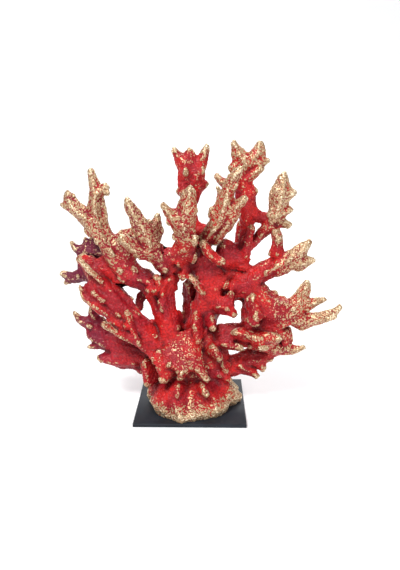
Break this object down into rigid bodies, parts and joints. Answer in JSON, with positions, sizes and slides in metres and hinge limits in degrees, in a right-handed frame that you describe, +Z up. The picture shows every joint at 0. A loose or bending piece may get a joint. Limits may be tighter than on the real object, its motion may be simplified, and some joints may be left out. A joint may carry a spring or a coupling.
{
  "type": "sea fan",
  "caption": "Decorative fan of branching red coral with gilded tips, grown on a lumpy holdfast that stands on a thin square black plate.",
  "frame": {"origin": "centre of the square plate's underside, on the surface the object stands on", "axes": "+Z up, +X to the right along the fan's width as seen from its front, and the front faces -Y"},
  "size_m": [0.3164, 0.12, 0.2932],
  "materials": {
    "coral": "satin red over a fine grain, dry-brushed with pale gold on tips, ridges and rims",
    "plate": "satin black"
  },
  "bodies": {
    "root": {"base_plate": "plate", "holdfast": "coral", "trunk": "coral", "low_left_bough": "coral", "left_bough": "coral", "far_left_branch": "coral", "upper_left_branch": "coral", "inner_left_branch": "coral", "left_column": "coral", "central_column": "coral", "front_centre_branch": "coral", "top_centre_branch": "coral", "front_right_branch": "coral", "top_right_branch": "coral", "upper_right_branch": "coral", "mid_right_branch": "coral", "right_bough": "coral", "low_right_bough": "coral", "lowest_right_bough": "coral"}
  },
  "joints": []
}
